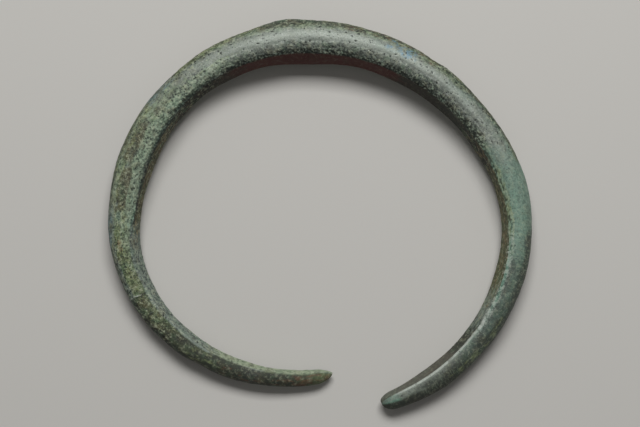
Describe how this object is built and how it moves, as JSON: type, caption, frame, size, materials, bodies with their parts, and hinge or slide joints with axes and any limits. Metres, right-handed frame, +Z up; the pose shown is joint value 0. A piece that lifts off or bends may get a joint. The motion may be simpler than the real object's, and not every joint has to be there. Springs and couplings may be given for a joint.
{
  "type": "bronze torc",
  "caption": "Plain open neck ring of solid bronze, thick behind the neck and tapering to two blunt ends, lying flat.",
  "frame": {"origin": "centre of the outline in plan, on the surface that the torc lies on", "axes": "+Z up, square to the ring; +Y towards the thick middle of the bar, the gap between the ends at -Y; +X across the ring, towards the blunt end's arm"},
  "size_m": [0.1536, 0.1424, 0.0158],
  "materials": {
    "patinated_bronze": null
  },
  "bodies": {
    "root": {"torc": "patinated_bronze"}
  },
  "joints": []
}
